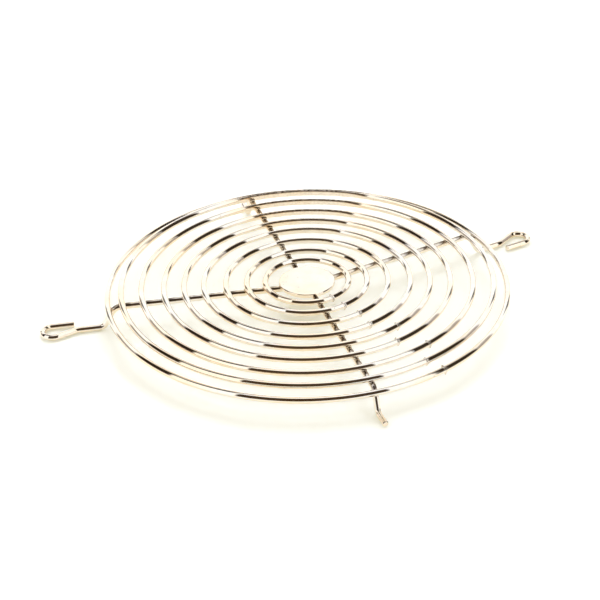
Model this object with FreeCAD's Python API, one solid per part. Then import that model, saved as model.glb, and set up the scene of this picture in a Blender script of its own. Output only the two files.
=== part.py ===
"""Wire fan guard: welded rings on four spokes, with two screw eyes and two plain feet.

Lengths are in millimetres. The origin is on the guard's axis in the plane it
stands on, +Z points out of the guard, the feet lie along Y and the eyes along X.
"""
import os
from math import asin, atan2, cos, degrees, hypot, radians, sin, tan

import FreeCAD
import Part
from FreeCAD import Vector

# Wire and welds
WIRE = 1.85          # diameter of the wire in every ring and spoke
SET_DOWN = 0.25      # depth a resistance weld sinks one piece into another
CUT_EDGE = 0.2       # bevel left on a sheared wire end
UPSET = 0.12         # height of the collar at a ring's butt weld
UPSET_LENGTH = 0.9   # length of that collar along the ring
UPSET_EDGE = 0.1     # radius on the collar's edges

# Flat rings, from the widest to the narrowest, as centreline radii
RING_RADII = [54.0, 48.1, 41.6, 35.7, 30.0, 23.6, 17.5, 12.1]
RIM_ANGLE = 51.7     # where the lowered rim ring sits on the shoulder bend
WELD_ANGLES = [291, 288, 295, 288, 296, 287, 290, 288, 287]  # butt welds, rim first

# Centre disc
DISC_R = 8.15
DISC_T = 1.2
DISC_EDGE = 0.25     # radius on the disc's pressed edge

# Spokes, all bent to one profile down to the mounting plane
DROP = 6.3           # step from the flat run down to the eye, centre to centre
SPOKE_START = 2.5    # inner end, hidden under the disc
SHOULDER_GAP = 0.05  # flat run kept outside the widest flat ring
SHOULDER_BEND_R = 3.5
FOOT_BEND_R = 2.0    # bend radii are all to the wire's centreline
EYE_SLOPE = 60.0     # steepest part of the step, from the horizontal
LEG_SLOPE = 68.0
LEG_REACH = 64.7     # free end of each plain foot
LEG_ANGLES = {"front": 270.0, "back": 90.0}
EYE_ANGLES = {"right": 10.5, "left": 171.4}

# Screw eyes
EYE_R = 148.5 / 2    # screw circle of a 120 mm fan
EYE_CLEAR = 4.1      # clear width of the eye, for an M4 screw
EYE_OFFSET = 0.3     # distance of the hole's centre from the spoke's line
EYE_TAIL = 6.3       # straight return leg, from the hole's centre to the cut end
NECK_R = 67.3        # where the neck leaves the spoke's line
NECK_BEND_R = 4.0    # bend radius that turns the neck off that line

# Levels and radii that follow
FLOOR_Z = WIRE / 2
SPOKE_Z = FLOOR_Z + DROP
STACK = WIRE - SET_DOWN
RING_Z = SPOKE_Z + STACK
SHOULDER = Vector(RING_RADII[0] + SHOULDER_GAP, 0, SPOKE_Z - SHOULDER_BEND_R)  # centre of that bend
RIM_R = SHOULDER.x + (SHOULDER_BEND_R + STACK) * sin(radians(RIM_ANGLE))
RIM_Z = SHOULDER.z + (SHOULDER_BEND_R + STACK) * cos(radians(RIM_ANGLE))

UP = Vector(0, 0, 1)


def polar(radius, angle, centre=Vector(0, 0, 0)):
    """Point at an angle in the horizontal plane through a centre."""
    return centre + Vector(cos(radians(angle)), sin(radians(angle)), 0) * radius


def round_wire(edges):
    """Wire of round section along tangent lines and arcs, with bevelled ends."""
    spine = Part.Wire(edges)
    first, last = edges[0], edges[-1]
    start = first.valueAt(first.FirstParameter)
    tangent = first.tangentAt(first.FirstParameter)
    section = Part.Wire(Part.makeCircle(WIRE / 2, start, tangent))
    body = spine.makePipeShell([section], True, True)
    ends = [start, last.valueAt(last.LastParameter)]
    rims = [edge for edge in body.Edges if edge.isClosed() and is_end(edge, ends)]
    return body.makeChamfer(CUT_EDGE, rims)


def is_end(edge, ends):
    """Whether a closed edge runs round one of the wire's two cut ends."""
    centre = edge.CenterOfMass
    return any((centre - end).Length < WIRE / 10 for end in ends)


def ring(radius, height, weld_angle):
    """One closed ring with the low collar that its butt weld leaves."""
    centre = Vector(0, 0, height)
    hoop = Part.makeTorus(radius, WIRE / 2, centre, UP)
    place = polar(radius, weld_angle, centre)
    along = polar(1, weld_angle + 90)
    collar = Part.makeCylinder(WIRE / 2 + UPSET, UPSET_LENGTH, place - along * UPSET_LENGTH / 2, along)
    collar = collar.makeFillet(UPSET_EDGE, [edge for edge in collar.Edges if edge.isClosed()])
    return hoop.fuse(collar)


def disc():
    """Flat pressed disc that closes the centre."""
    plate = Part.makeCylinder(DISC_R, DISC_T, Vector(0, 0, SPOKE_Z + STACK - WIRE / 2))
    return plate.makeFillet(DISC_EDGE, [edge for edge in plate.Edges if edge.isClosed()])


def on_bend(centre, radius, lean):
    """Point of an upright bend, so many radians from straight above its centre."""
    return centre + Vector(sin(lean), 0, cos(lean)) * radius


def step_profile(steepness):
    """Flat run, shoulder bend, slope and foot bend in the XZ plane, and where the foot starts."""
    slope = radians(steepness)
    shoulder_start, shoulder_mid, slope_top = [
        on_bend(SHOULDER, SHOULDER_BEND_R, lean) for lean in (0, slope / 2, slope)
    ]
    fall = slope_top.z - FLOOR_Z - FOOT_BEND_R * (1 - cos(slope))
    foot_x = slope_top.x + fall / tan(slope) + FOOT_BEND_R * sin(slope)
    foot_centre = Vector(foot_x, 0, FLOOR_Z + FOOT_BEND_R)
    slope_end, foot_mid, foot_start = [
        on_bend(foot_centre, -FOOT_BEND_R, lean) for lean in (slope, slope / 2, 0)
    ]
    edges = [
        Part.makeLine(Vector(SPOKE_START, 0, SPOKE_Z), shoulder_start),
        Part.Arc(shoulder_start, shoulder_mid, slope_top).toShape(),
        Part.makeLine(slope_top, slope_end),
        Part.Arc(slope_end, foot_mid, foot_start).toShape(),
    ]
    return edges, foot_start


def eye_profile(foot_start):
    """Neck, loop and return leg in the mounting plane, turning back with its end left open."""
    loop_r = (EYE_CLEAR + WIRE) / 2
    hole = Vector(EYE_R, -EYE_OFFSET, FLOOR_Z)
    bend = Vector(NECK_R, 0, FLOOR_Z)
    reach = hypot(hole.x - bend.x, hole.y - bend.y)
    swing = degrees(atan2(hole.y - bend.y, hole.x - bend.x) + asin(loop_r / reach))
    inset = NECK_BEND_R * tan(radians(swing / 2))
    neck_start = bend - Vector(inset, 0, 0)
    neck_end = polar(inset, swing, bend)
    neck_centre = neck_start + Vector(0, NECK_BEND_R, 0)
    neck_mid = polar(NECK_BEND_R, swing / 2 - 90, neck_centre)
    loop_start = polar(loop_r, swing + 90, hole)
    loop_mid = polar(loop_r, swing / 2, hole)
    loop_end = polar(loop_r, -90, hole)
    return [
        Part.makeLine(foot_start, neck_start),
        Part.Arc(neck_start, neck_mid, neck_end).toShape(),
        Part.makeLine(neck_end, loop_start),
        Part.Arc(loop_start, loop_mid, loop_end).toShape(),
        Part.makeLine(loop_end, loop_end - Vector(EYE_TAIL, 0, 0)),
    ]


def leg_spoke():
    """Spoke that ends in a short plain foot."""
    edges, foot_start = step_profile(LEG_SLOPE)
    return round_wire(edges + [Part.makeLine(foot_start, Vector(LEG_REACH, 0, FLOOR_Z))])


def eye_spoke():
    """Spoke that ends in an open screw eye."""
    edges, foot_start = step_profile(EYE_SLOPE)
    return round_wire(edges + eye_profile(foot_start))


def turned(shape, angle):
    """Copy of a shape turned about the guard's axis."""
    copy = shape.copy()
    copy.rotate(Vector(0, 0, 0), UP, angle)
    return copy


def build():
    """Every piece of the guard by node name, with the spokes seated under the rings and disc."""
    levels = [(RIM_R, RIM_Z)] + [(radius, RING_Z) for radius in RING_RADII]
    tops = {}
    for number, ((radius, height), angle) in enumerate(zip(levels, WELD_ANGLES), 1):
        tops[f"ring_{number}"] = ring(radius, height, angle)
    tops["centre_disc"] = disc()
    spokes = {}
    for side, angle in EYE_ANGLES.items():
        spokes[f"{side}_eye_spoke"] = turned(eye_spoke(), angle)
    for side, angle in LEG_ANGLES.items():
        spokes[f"{side}_leg_spoke"] = turned(leg_spoke(), angle)
    seated = {name: spoke.cut(list(tops.values())) for name, spoke in spokes.items()}
    return {**tops, **seated}


def main():
    os.makedirs("parts", exist_ok=True)
    for name, shape in build().items():
        shape.exportStep(f"parts/{name}.step")
        print(name, shape.isValid(), len(shape.Solids), round(shape.Volume, 1))


main()
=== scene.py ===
"""Wire fan guard, lying on a white table in a small photo studio."""
import math
import random
import bpy
from mathutils import Matrix, Vector


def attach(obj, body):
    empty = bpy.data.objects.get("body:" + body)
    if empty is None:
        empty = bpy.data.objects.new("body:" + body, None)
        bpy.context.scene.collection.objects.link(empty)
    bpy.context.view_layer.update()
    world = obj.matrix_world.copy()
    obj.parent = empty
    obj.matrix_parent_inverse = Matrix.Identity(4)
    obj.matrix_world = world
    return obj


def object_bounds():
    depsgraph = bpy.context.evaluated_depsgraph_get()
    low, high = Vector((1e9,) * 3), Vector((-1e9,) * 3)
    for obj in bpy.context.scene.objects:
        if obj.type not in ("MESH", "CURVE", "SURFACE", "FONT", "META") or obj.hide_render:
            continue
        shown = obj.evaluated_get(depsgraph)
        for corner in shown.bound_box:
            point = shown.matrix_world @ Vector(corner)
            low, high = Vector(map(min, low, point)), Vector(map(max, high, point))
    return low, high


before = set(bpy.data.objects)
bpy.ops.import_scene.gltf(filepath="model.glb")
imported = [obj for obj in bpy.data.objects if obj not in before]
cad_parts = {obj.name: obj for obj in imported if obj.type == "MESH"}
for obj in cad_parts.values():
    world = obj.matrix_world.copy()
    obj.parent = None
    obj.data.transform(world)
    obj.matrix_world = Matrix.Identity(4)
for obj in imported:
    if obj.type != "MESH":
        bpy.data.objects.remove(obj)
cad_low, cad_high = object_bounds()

MM = 0.001
UP = Vector((0, 0, 1))
random.seed(7)

# The guard's sizes in millimetres and its angles in degrees, as in the CAD source
WIRE_R = 0.925
RING_Z = 8.825
SPOKE_Z = 7.225
RINGS = [(58.05, 6.886)] + [(r, RING_Z) for r in (54.0, 48.1, 41.6, 35.7, 30.0, 23.6, 17.5, 12.1)]
SPOKES = {"right_eye_spoke": 10.5, "left_eye_spoke": 171.4, "front_leg_spoke": 270.0, "back_leg_spoke": 90.0}
BUTT_ANGLES = [291, 288, 295, 288, 296, 287, 290, 288, 287]
SPAN = RING_Z - SPOKE_Z      # between the centrelines of a spoke and a ring welded on it
RIM_LEAN = 51.7              # how far round the spoke's bend the rim ring sits

# Weld metal in millimetres: a bead's share of the gap's height and of its reach, and a burr's place and reach
WELD_R = 0.92
BEAD_PROFILE = ((0.0, 0.45), (0.0, 0.86), (0.28, 0.97), (0.5, 1.0), (0.72, 0.97), (1.0, 0.86), (1.0, 0.45))
BEAD_POINTS = 28
BEAD_BITE = 0.03             # how far a bead reaches into each wire
BURR_PROFILE = (
    (-0.24, 0.98), (-0.15, 1.05), (-0.07, 1.16), (0.0, 1.25), (0.07, 1.16), (0.15, 1.05), (0.24, 0.98))
BURR_POINTS = 40
BURR_ROOT = 1.03             # reach from which a burr's edge grows ragged
BOX_CLEAR = 0.004            # kept free under the top of the CAD model

# The photograph's view of it, in degrees, millimetres and pixels
VIEW_TURN = 17.8
VIEW_ELEVATION = 31.0
VIEW_DISTANCE = 536.5
VIEW_ROLL = 1.7
FOCAL_PIXELS = 1846.0
FRAME_PIXELS = 600.0
CENTRE_PIXEL = (306.9, 281.0)
SENSOR = 36

# The table's half width in metres, and how deep light bleeds into it in millimetres
TABLE_HALF = 4.0
TABLE_BLEED = 4

# The key light
KEY_STRENGTH = 1.3
KEY_SPREAD = 46
KEY_TURN = 78
KEY_HEIGHT = 63

# Colours, as linear red, green and blue
PLATE = (0.88, 0.785, 0.65)
# Painted shade for the spokes' tops under the rings, where they mirror the rings' dark undersides
PAINTED_SHADE = (0.105, 0.068, 0.042)
# Pale tan painted reflection for the dull far side of the outer rings; a quarter of it is the painted dark
# line on their upper edge
FAR_TAN_AND_PAINTED_REFLECTION = (0.90, 0.75, 0.60)
WELD = tuple(c * 0.82 for c in PLATE)
LIT = (1.32, 1.35, 1.40)
FLOOR_DIFFUSE = (0.82, 0.88, 1.0)
FLOOR_GLOW = (0.44, 0.385, 0.20)
FLOOR_BOUNCE = (0.85, 0.84, 0.82)

# The plate's texture, in cells per metre
DRIFT_SCALE = 60
HAZE_SCALE = 420
WAVE_SCALE = 500
PIT_SCALE = 900
GRAIN_SCALE = 1700
WIRE_GRAIN = 3500
DISC_GRAIN = 2500
WELD_GRAIN = 2200
BUMP_HEIGHT = 0.000012       # in metres

# The rings' far side, where the outer ones are duller and grainy, coloured pale tan as painted reflection
# with a painted dark line on their upper edge, and the shading normal leans
FAR_TURN = 92 - VIEW_TURN    # where the middle of the stretch lies, in degrees
FAR_SWING = (16, 27)         # degrees to each side at which it begins and ends to fade
# Between DULL_RADII the dull plate grows, and with it its pale tan painted reflection and the painted dark
# line on its upper edge
DULL_RADII = (20.0, 56.0)    # millimetres between which the tarnish grows
LEAN_RADII = (10.0, 22.0)
LEAN = 0.40
OUTER_LEAN_RADII = (34.0, 56.0)
OUTER_LEAN = 0.32

# A spoke's painted shade, darker on its top where it mirrors the rings' dark undersides: the share of it
# close in under the next ring, and on the open run
FRONT_LEG_PAINTED_SHADE = (0.9, 0.85)
BACK_LEG_PAINTED_SHADE = (0.9, 0.12)
EYE_PAINTED_SHADE = (0.85, 0.3)
PAINTED_SHADE_REACH = (1.4, 3.6)     # millimetres in from the ring between which it changes
RING_PASSED = 0.6            # millimetres past a ring's centreline from which the next ring counts


class Nodes:
    """Short ways to add and link shader nodes."""

    def __init__(self, tree):
        self.tree = tree
        tree.nodes.clear()

    def add(self, kind, **settings):
        node = self.tree.nodes.new("ShaderNode" + kind)
        for name, value in settings.items():
            setattr(node, name, value)
        return node

    def put(self, value, socket):
        if isinstance(value, bpy.types.NodeSocket):
            self.tree.links.new(value, socket)
        else:
            socket.default_value = value

    def math(self, operation, *values):
        node = self.add("Math", operation=operation)
        for value, socket in zip(values, node.inputs):
            self.put(value, socket)
        return node.outputs[0]

    def dot(self, first, second):
        node = self.add("VectorMath", operation="DOT_PRODUCT")
        self.put(first, node.inputs[0])
        self.put(second, node.inputs[1])
        return node.outputs["Value"]

    def split(self, vector):
        node = self.add("SeparateXYZ")
        self.put(vector, node.inputs[0])
        return node.outputs

    def length(self, x, y):
        return self.math("SQRT", self.math("ADD", self.math("MULTIPLY", x, x), self.math("MULTIPLY", y, y)))

    def ramp(self, value, low, high, out_low=0.0, out_high=1.0, smooth=True):
        node = self.add("MapRange", interpolation_type="SMOOTHSTEP" if smooth else "LINEAR")
        for socket, number in zip(node.inputs, (value, low, high, out_low, out_high)):
            self.put(number, socket)
        return node.outputs[0]

    def band(self, value, low, high, soft):
        """One between two limits and zero outside, with soft edges."""
        rise = self.ramp(value, low - soft / 2, low + soft / 2)
        fall = self.ramp(value, high - soft / 2, high + soft / 2, 1.0, 0.0)
        return self.math("MULTIPLY", rise, fall)

    def mix(self, factor, first, second):
        node = self.add("Mix", data_type="RGBA")
        for socket, value in zip((node.inputs[0], node.inputs[6], node.inputs[7]), (factor, first, second)):
            self.put((*value, 1) if isinstance(value, tuple) else value, socket)
        return node.outputs[2]

    def noise(self, where, scale, detail, rough=0.5):
        node = self.add("TexNoise")
        self.put(where, node.inputs["Vector"])
        node.inputs["Scale"].default_value = scale
        node.inputs["Detail"].default_value = detail
        node.inputs["Roughness"].default_value = rough
        return node.outputs[0]


class Room(Nodes):
    """The studio as directions from the guard: degrees round from the camera's side, and degrees up."""

    def __init__(self, tree):
        super().__init__(tree)
        mapping = self.add("Mapping")
        mapping.inputs["Rotation"].default_value = (0, 0, math.radians(VIEW_TURN + 90))
        self.put(self.add("TexCoord").outputs["Generated"], mapping.inputs["Vector"])
        self.way = mapping.outputs[0]
        self.near, y, z = self.split(self.way)
        self.round_angle = self.math("DEGREES", self.math("ARCTAN2", y, self.near))
        self.height = self.math("DEGREES", self.math("ARCSINE", z))
        self.behind = self.math("SUBTRACT", 180.0, self.math("ABSOLUTE", self.round_angle))

    def beyond(self, edge, soft=3.0):
        """The part of the room that the rings show further round than an edge they have at some angle.

        A level ring seen from the camera shows one cone of directions at each angle round it, so an
        edge that runs straight across every ring is a round patch's rim, centred level with the table.
        """
        turn = math.radians(edge if abs(edge) > 90 else edge + 180)
        reach = math.cos(math.radians(VIEW_ELEVATION)) * abs(math.cos(math.radians(edge)))
        half = math.radians(soft / 2) * math.sin(math.acos(reach))
        return self.ramp(self.dot(self.way, (math.cos(turn), math.sin(turn), 0)), reach - half, reach + half)

    def crescent(self, first, last, bottom, top=90.0, soft=6.0, clear=(6.0, 14.0)):
        """What the rings show between two angles, above a height and short of straight behind."""
        gap = self.math("MULTIPLY", self.beyond(first), self.math("SUBTRACT", 1.0, self.beyond(last, 4.0)))
        gap = self.math("MULTIPLY", gap, self.band(self.height, bottom, top, soft))
        return self.math("MULTIPLY", gap, self.ramp(self.behind, *clear))

    def spot(self, turn, lift, radius, soft):
        """A small round patch of the room."""
        turn, lift = math.radians(turn), math.radians(lift)
        centre = (math.cos(turn) * math.cos(lift), math.sin(turn) * math.cos(lift), math.sin(lift))
        edges = [math.cos(math.radians(radius + side * soft / 2)) for side in (1, -1)]
        return self.ramp(self.dot(self.way, centre), *edges)

    def lamp_rims(self):
        """The thin dark rims of the lamps behind, as arcs round a point low behind the guard."""
        lifted = self.math("SUBTRACT", self.height, 4.0)
        off_back = self.length(self.behind, lifted)
        arc = self.band(off_back, 39.0, 47.0, 3.0)
        return self.math("MULTIPLY", arc, self.band(self.height, 2.0, 30.0, 6.0))

    def camera_side(self):
        """The dark side that the rings show across their front and back, as far as just past overhead."""
        sides = [self.math("SUBTRACT", 1.0, self.beyond(edge, 2.0)) for edge in (-110.5, -68.0)]
        return self.math("MULTIPLY", self.math("MULTIPLY", *sides), self.ramp(self.near, -0.15, -0.09))


def make_camera():
    """Camera at the photograph's place, aimed so that the guard's centre falls where it does there."""
    elevation, turn, roll = (math.radians(v) for v in (VIEW_ELEVATION, VIEW_TURN, VIEW_ROLL))
    ahead = Vector((0, math.cos(elevation), -math.sin(elevation)))
    side = Vector((1, 0, 0))
    place = UP * RING_Z - ahead * VIEW_DISTANCE
    x = (CENTRE_PIXEL[0] - FRAME_PIXELS / 2) / FOCAL_PIXELS
    y = (FRAME_PIXELS / 2 - CENTRE_PIXEL[1]) / FOCAL_PIXELS
    c, s = math.cos(roll), math.sin(roll)
    x, y = x * c + y * s, y * c - x * s
    aim = (ahead - side * x - side.cross(ahead) * y).normalized()
    level = aim.cross(UP).normalized()
    over = level.cross(aim)
    right, up = level * c - over * s, level * s + over * c
    data = bpy.data.cameras.new("camera")
    data.sensor_width = SENSOR
    data.lens = SENSOR * FOCAL_PIXELS / FRAME_PIXELS
    data.clip_start, data.clip_end = 0.01, 20
    camera = bpy.data.objects.new("camera", data)
    axes = Matrix((right, up, -aim)).transposed().to_4x4()
    camera.matrix_world = Matrix.Rotation(-turn, 4, "Z") @ Matrix.Translation(place * MM) @ axes
    bpy.context.collection.objects.link(camera)
    bpy.context.scene.camera = camera


def make_world():
    """White background, and for reflections and light a bright studio with a dark camera side."""
    world = bpy.data.worlds.new("studio")
    bpy.context.scene.world = world
    world.use_nodes = True
    n = Room(world.node_tree)
    left_top = n.math("MULTIPLY", n.crescent(-112.0, -131.5, 14.0, 90.0, 8.0, (0.8, 2.0)),
                      n.band(n.round_angle, -182.0, -112.0, 4.0))
    right_top = n.math("MULTIPLY", n.crescent(-66.0, -52.0, 14.0, 60.0, 8.0, (2.0, 4.5)),
                       n.band(n.round_angle, 152.0, 178.0, 6.0))
    darks = [
        (n.lamp_rims(), 0.92, (0.06, 0.045, 0.03)),
        (left_top, 1.0, (0.055, 0.040, 0.028)),
        (right_top, 0.8, (0.08, 0.06, 0.042)),
        (n.spot(174.0, 10.0, 6.5, 3.0), 0.9, (0.055, 0.040, 0.028)),
        (n.spot(-174.0, 10.0, 5.0, 3.0), 0.6, (0.08, 0.06, 0.042)),
        (n.crescent(-147.0, -158.0, 6.0, 34.0), 0.8, (0.16, 0.115, 0.075)),
        (n.crescent(-36.0, -28.0, -4.0, 42.0), 0.75, (0.24, 0.18, 0.115)),
        (n.crescent(-131.5, -147.0, 9.0), 1.0, (0.038, 0.027, 0.019)),
        (n.crescent(-53.0, -36.0, -2.0), 1.0, (0.050, 0.037, 0.026)),
        (n.camera_side(), 1.0, (0.075, 0.054, 0.038)),
    ]
    colour = LIT
    for part, strength, shade in darks:
        colour = n.mix(n.math("MULTIPLY", part, strength), colour, shade)
    light = n.add("Background")
    n.put(colour, light.inputs["Color"])
    white = n.add("Background")
    white.inputs["Color"].default_value = (1, 1, 1, 1)
    pick = n.add("MixShader")
    n.put(n.add("LightPath").outputs["Is Camera Ray"], pick.inputs[0])
    n.put(light.outputs[0], pick.inputs[1])
    n.put(white.outputs[0], pick.inputs[2])
    n.put(pick.outputs[0], n.add("OutputWorld").inputs[0])


def make_key():
    """Soft key light from above and behind, which throws the shadows towards the camera."""
    data = bpy.data.lights.new("key", "SUN")
    data.energy = KEY_STRENGTH
    data.angle = math.radians(KEY_SPREAD)
    key = bpy.data.objects.new("key", data)
    turn, height = math.radians(KEY_TURN - VIEW_TURN), math.radians(KEY_HEIGHT)
    level = math.cos(height)
    to_light = Vector((math.cos(turn) * level, math.sin(turn) * level, math.sin(height)))
    key.visible_glossy = False
    key.rotation_euler = to_light.to_track_quat("Z", "Y").to_euler()
    bpy.context.collection.objects.link(key)


def make_floor():
    """White table top whose shadows are warm, as the overexposed photograph shows them."""
    mesh = bpy.data.meshes.new("table_top")
    corners = [(x * TABLE_HALF, y * TABLE_HALF, 0) for x, y in ((-1, -1), (1, -1), (1, 1), (-1, 1))]
    mesh.from_pydata(corners, [], [(0, 1, 2, 3)])
    table = bpy.data.objects.new("table_top", mesh)
    bpy.context.collection.objects.link(table)
    mesh.materials.append(table_white())


def table_white():
    """Slightly translucent white with a faint warm glow of its own, and plain white for diffuse rays."""
    material = bpy.data.materials.new("table_white")
    material.use_nodes = True
    n = Nodes(material.node_tree)
    lit = n.add("SubsurfaceScattering", falloff="BURLEY")
    lit.inputs["Color"].default_value = (*FLOOR_DIFFUSE, 1)
    lit.inputs["Scale"].default_value = TABLE_BLEED * MM
    lit.inputs["Radius"].default_value = (1, 1, 1)
    glow = n.add("Emission")
    glow.inputs["Color"].default_value = (*FLOOR_GLOW, 1)
    path = n.add("LightPath")
    n.put(n.math("LESS_THAN", path.outputs["Diffuse Depth"], 0.5), glow.inputs["Strength"])
    both = n.add("AddShader")
    n.put(lit.outputs[0], both.inputs[0])
    n.put(glow.outputs[0], both.inputs[1])
    plain = n.add("BsdfDiffuse")
    plain.inputs["Color"].default_value = (*FLOOR_BOUNCE, 1)
    seen = n.math("MAXIMUM", path.outputs["Is Camera Ray"], path.outputs["Is Glossy Ray"])
    seen = n.math("MAXIMUM", seen, path.outputs["Is Transmission Ray"])
    pick = n.add("MixShader")
    n.put(seen, pick.inputs[0])
    n.put(plain.outputs[0], pick.inputs[1])
    n.put(both.outputs[0], pick.inputs[2])
    n.put(pick.outputs[0], n.add("OutputMaterial").inputs[0])
    return material


def plating(name, colour, roughness, grain, spoke_shade=None, dull_far_side_and_painted_reflection=False):
    """Bright nickel-chrome plate with faint waves, pits, haze and colour drift.

    A spoke's top can be darkened under the rings with painted shade, and the outer rings can have a dull,
    grainy stretch on the guard's far side that is coloured with painted reflection.
    """
    material = bpy.data.materials.new(name)
    material.use_nodes = True
    n = Nodes(material.node_tree)
    where = n.add("TexCoord").outputs["Object"]
    haze = n.noise(where, HAZE_SCALE, 4, 0.6)
    pit = pits(n, where, haze)
    base = plate_colour(n, where, colour, haze, pit)
    if spoke_shade:
        # Painted shade: the spoke's top is darkened under the rings, where it mirrors their dark undersides
        painted_shade_share = n.math("MULTIPLY", painted_shade_under_rings(n, where, *spoke_shade), n.ramp(haze, 0.34, 0.52, 0.35, 1.0))
        base = n.mix(painted_shade_share, base, PAINTED_SHADE)
    rough = n.ramp(haze, 0.3, 0.75, roughness * 0.6, roughness * 1.6)
    rough = n.math("ADD", rough, n.math("MULTIPLY", pit, 0.25))
    normal = plate_bump(n, where, grain, pit)
    metal = 1.0
    if dull_far_side_and_painted_reflection:
        down = down_and_in(n, where)
        base, rough, metal = far_side_dulling_and_painted_reflection(n, where, down, base, rough)
        normal = leaned(n, where, down, normal)
    shader = n.add("BsdfPrincipled")
    looks = {"Base Color": base, "Roughness": rough, "Normal": normal, "Metallic": metal}
    for socket, value in looks.items():
        n.put(value, shader.inputs[socket])
    n.put(shader.outputs[0], n.add("OutputMaterial").inputs[0])
    return material


def pits(n, where, haze):
    """Small pits, which come only where the haze is thick."""
    cells = n.add("TexVoronoi", feature="F1")
    n.put(where, cells.inputs["Vector"])
    cells.inputs["Scale"].default_value = PIT_SCALE
    pit = n.ramp(cells.outputs["Distance"], 0.05, 0.16, 1.0, 0.0)
    return n.math("MULTIPLY", pit, n.ramp(haze, 0.52, 0.62))


def plate_colour(n, where, colour, haze, pit):
    """The plate's colour, which drifts between warm and cool and is duller in haze and pits."""
    warm = tuple(c * k for c, k in zip(colour, (1.03, 0.97, 0.88)))
    cool = tuple(c * k for c, k in zip(colour, (0.98, 1.01, 1.08)))
    base = n.mix(n.ramp(n.noise(where, DRIFT_SCALE, 3), 0.35, 0.65), warm, cool)
    base = n.mix(n.math("MULTIPLY", n.ramp(haze, 0.45, 0.75), 0.22), base, tuple(c * 0.72 for c in colour))
    return n.mix(n.math("MULTIPLY", pit, 0.7), base, tuple(c * 0.3 for c in colour))


def plate_bump(n, where, grain, pit):
    """Normal of the plate's faint waves, fine grain and pits."""
    bump = n.add("Bump")
    bump.inputs["Strength"].default_value = 0.35
    bump.inputs["Distance"].default_value = BUMP_HEIGHT
    fine = n.noise(where, grain, 3, 0.7)
    height = n.math("ADD", n.noise(where, WAVE_SCALE, 2), n.math("MULTIPLY", fine, 0.18))
    n.put(n.math("SUBTRACT", height, n.math("MULTIPLY", pit, 0.3)), bump.inputs["Height"])
    return bump.outputs[0]


def far_side_dulling_and_painted_reflection(n, where, down, base, rough):
    """Colour, roughness and metal for the far side: a duller, rougher plate coloured pale tan as painted
    reflection, with a grainy painted dark reflection line along the wire's upper edge.
    """
    facing = n.dot(n.add("NewGeometry").outputs["Normal"], down)
    top_edge = n.ramp(facing, -0.8, -0.3, 1.0, 0.0)
    far_share = far_side(n, where, DULL_RADII)
    grains = n.noise(where, GRAIN_SCALE, 2, 0.6)
    painted_dark_edge_line = n.math("MULTIPLY", n.ramp(grains, 0.50, 0.58), top_edge)
    bare = n.math("MULTIPLY", n.ramp(grains, 0.40, 0.54, 0.85, 0.15), n.ramp(top_edge, 0.0, 1.0, 0.15, 1.0))
    # Painted reflection: pale tan on the far side where the wire would mirror the dark camera side, and a
    # grainy painted dark line along its upper edge
    base = n.mix(n.math("MULTIPLY", far_share, 0.6), base, FAR_TAN_AND_PAINTED_REFLECTION)
    base = n.mix(n.math("MULTIPLY", far_share, painted_dark_edge_line), base, tuple(c * 0.25 for c in FAR_TAN_AND_PAINTED_REFLECTION))
    rough = n.math("ADD", rough, n.math("MULTIPLY", far_share, 0.10))
    return base, rough, n.math("SUBTRACT", 1.0, n.math("MULTIPLY", far_share, bare))


def leaned(n, where, down, normal):
    """Normal that leans down and in on the far side, which moves the dark stripe to the wire's upper edge."""
    lean = n.add("VectorMath", operation="SCALE")
    n.put(down, lean.inputs[0])
    tilt = n.math("ADD", n.math("MULTIPLY", far_side(n, where, LEAN_RADII), LEAN),
                  n.math("MULTIPLY", far_side(n, where, OUTER_LEAN_RADII), OUTER_LEAN))
    n.put(tilt, lean.inputs["Scale"])
    tilted = n.add("VectorMath", operation="ADD")
    n.put(normal, tilted.inputs[0])
    n.put(lean.outputs["Vector"], tilted.inputs[1])
    unit = n.add("VectorMath", operation="NORMALIZE")
    n.put(tilted.outputs["Vector"], unit.inputs[0])
    return unit.outputs["Vector"]


def down_and_in(n, where):
    """Direction down and towards the guard's axis, square to the photograph's view at the far side."""
    x, y, _ = n.split(where)
    out = n.length(x, y)
    inward, down = (-f(math.radians(VIEW_ELEVATION)) for f in (math.sin, math.cos))
    way = n.add("CombineXYZ")
    n.put(n.math("DIVIDE", n.math("MULTIPLY", x, inward), out), way.inputs[0])
    n.put(n.math("DIVIDE", n.math("MULTIPLY", y, inward), out), way.inputs[1])
    way.inputs[2].default_value = down
    return way.outputs[0]


def far_side(n, where, radii):
    """How much a point lies at the guard's far side, from nought at one radius to one at the other."""
    x, y, _ = n.split(where)
    turn = math.radians(FAR_TURN)
    out = n.math("ADD", n.math("MULTIPLY", x, math.cos(turn)), n.math("MULTIPLY", y, math.sin(turn)))
    aside = n.math("SUBTRACT", n.math("MULTIPLY", y, math.cos(turn)), n.math("MULTIPLY", x, math.sin(turn)))
    swing = n.math("ABSOLUTE", n.math("DEGREES", n.math("ARCTAN2", aside, out)))
    growth = n.ramp(out, *(radius * MM for radius in radii), smooth=False)
    return n.math("MULTIPLY", n.ramp(swing, *FAR_SWING, 1.0, 0.0), growth)


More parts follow.
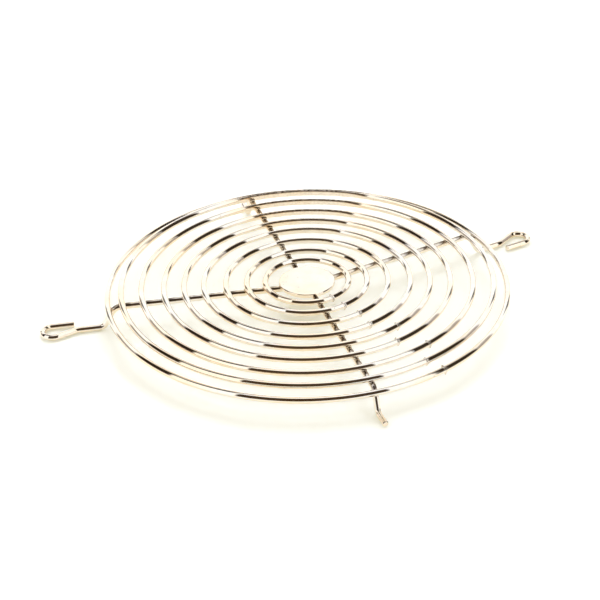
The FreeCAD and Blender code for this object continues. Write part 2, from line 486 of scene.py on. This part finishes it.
def painted_shade_under_rings(n, where, close, open_run):
    """How much painted shade darkens the top of a spoke, where it mirrors the rings' dark undersides, from a
    share close in under the next ring to one on the open run.
    """
    x, y, z = n.split(where)
    out = n.length(x, y)
    near = 1.0
    for radius, _ in RINGS:
        gap = n.math("SUBTRACT", radius * MM, out)
        passed = n.math("LESS_THAN", gap, -RING_PASSED * MM)
        near = n.math("MINIMUM", near, n.math("ADD", gap, passed))
    facing = n.split(n.add("NewGeometry").outputs["Normal"])[2]
    upper = n.ramp(z, (SPOKE_Z - 0.4) * MM, (SPOKE_Z + 0.2) * MM)
    top = n.math("MULTIPLY", upper, n.ramp(facing, 0.35, 0.75))
    return n.math("MULTIPLY", n.ramp(near, *(reach * MM for reach in PAINTED_SHADE_REACH), close, open_run), top)


def solid_of_rings(name, rings, material):
    """Piece of the guard: closed mesh through rows of points that go round alike, capped at both ends."""
    count = len(rings[0])
    points = [p for ring in rings for p in ring]
    faces = [tuple(range(count - 1, -1, -1)), tuple((len(rings) - 1) * count + i for i in range(count))]
    for row in range(len(rings) - 1):
        for i in range(count):
            j = (i + 1) % count
            a, b = row * count, (row + 1) * count
            faces.append((a + i, a + j, b + j, b + i))
    mesh = bpy.data.meshes.new(name)
    mesh.from_pydata([tuple(p * MM) for p in points], [], faces)
    mesh.update()
    for face in mesh.polygons:
        face.use_smooth = len(face.vertices) == 4
    piece = bpy.data.objects.new(name, mesh)
    bpy.context.collection.objects.link(piece)
    mesh.materials.append(material)
    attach(piece, "root")


def direction(angle):
    """Level direction at an angle in degrees."""
    return Vector((math.cos(math.radians(angle)), math.sin(math.radians(angle)), 0))


def wobble(count, size, terms=4):
    """Smooth random offsets round a closed loop."""
    waves = [(k + 2, random.uniform(0, math.tau), size / (k + 1)) for k in range(terms)]
    return [sum(a * math.sin(f * math.tau * i / count + q) for f, q, a in waves) for i in range(count)]


def gap_heights(across, along):
    """Height of the lower wire's top and the upper wire's underside, from midway, beside a crossing."""
    low = math.sqrt(max(0.0, WIRE_R ** 2 - across ** 2)) - SPAN / 2
    high = SPAN / 2 - math.sqrt(max(0.0, WIRE_R ** 2 - along ** 2))
    return low, high


def weld_bead(name, centre, spoke_dir, ring_dir, up, material):
    """Metal squeezed out round a spot weld between a spoke and the ring over it."""
    edge = wobble(BEAD_POINTS, 0.035)
    swell = wobble(BEAD_POINTS, 0.02)
    rows = []
    for depth, reach in BEAD_PROFILE:
        ring = []
        for i in range(BEAD_POINTS):
            turn = math.tau * i / BEAD_POINTS
            out = WELD_R * reach + edge[i] + (swell[i] if 0 < depth < 1 else 0)
            along, across = out * math.cos(turn), out * math.sin(turn)
            low, high = gap_heights(across, along)
            low, high = low - BEAD_BITE, high + BEAD_BITE
            ring.append(centre + spoke_dir * along + ring_dir * across + up * (low + (high - low) * depth))
        rows.append(ring)
    solid_of_rings(name, rows, material)


def add_spot_welds(material):
    """A bead at every crossing of a spoke and a ring."""
    for spoke, angle in SPOKES.items():
        out = direction(angle)
        side = UP.cross(out)
        for number, (radius, height) in enumerate(RINGS, 1):
            lean = math.radians(RIM_LEAN) if number == 1 else 0.0
            up = out * math.sin(lean) + UP * math.cos(lean)
            along = out * math.cos(lean) - UP * math.sin(lean)
            centre = out * radius + UP * height - up * (SPAN / 2)
            weld_bead(f"weld_{number}_{spoke}", centre, along, side, up, material)


def add_butt_welds(material):
    """The burr left round each ring where its two ends were pressed together hot."""
    top = cad_high.z / MM - BOX_CLEAR
    for number, ((radius, height), angle) in enumerate(zip(RINGS, BUTT_ANGLES), 1):
        out = direction(angle)
        along = UP.cross(out)
        centre = out * radius + UP * height
        ridge, skew = wobble(BURR_POINTS, 0.05, 6), wobble(BURR_POINTS, 0.05)
        rows = []
        for place, reach in BURR_PROFILE:
            ring = []
            for i in range(BURR_POINTS):
                turn = math.tau * i / BURR_POINTS
                far = reach + ridge[i] * max(0.0, reach - BURR_ROOT) / 0.1
                round_wire = out * math.cos(turn) + UP * math.sin(turn)
                point = centre + along * (place + skew[i]) + round_wire * far
                point.z = min(point.z, top)
                ring.append(point)
            rows.append(ring)
        solid_of_rings(f"butt_weld_{number}", rows, material)


def dress_nodes():
    """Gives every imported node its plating."""
    wire = plating("wire_plating", PLATE, 0.035, WIRE_GRAIN, dull_far_side_and_painted_reflection=True)
    eye = plating("eye_plating", PLATE, 0.045, WIRE_GRAIN, spoke_shade=EYE_PAINTED_SHADE)
    kinds = {
        "centre_disc": plating("disc_plating", PLATE, 0.07, DISC_GRAIN),
        "front_leg_spoke": plating("front_leg_plating", PLATE, 0.05, WIRE_GRAIN, spoke_shade=FRONT_LEG_PAINTED_SHADE),
        "back_leg_spoke": plating("back_leg_plating", PLATE, 0.05, WIRE_GRAIN, spoke_shade=BACK_LEG_PAINTED_SHADE),
        "right_eye_spoke": eye,
        "left_eye_spoke": eye,
    }
    for name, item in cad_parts.items():
        for slot in item.material_slots:
            slot.material = kinds.get(name, wire)


make_camera()
make_world()
make_key()
make_floor()
dress_nodes()
weld_plating = plating("weld_plating", WELD, 0.16, WELD_GRAIN)
add_spot_welds(weld_plating)
add_butt_welds(weld_plating)
bpy.context.scene.view_settings.view_transform = "Standard"
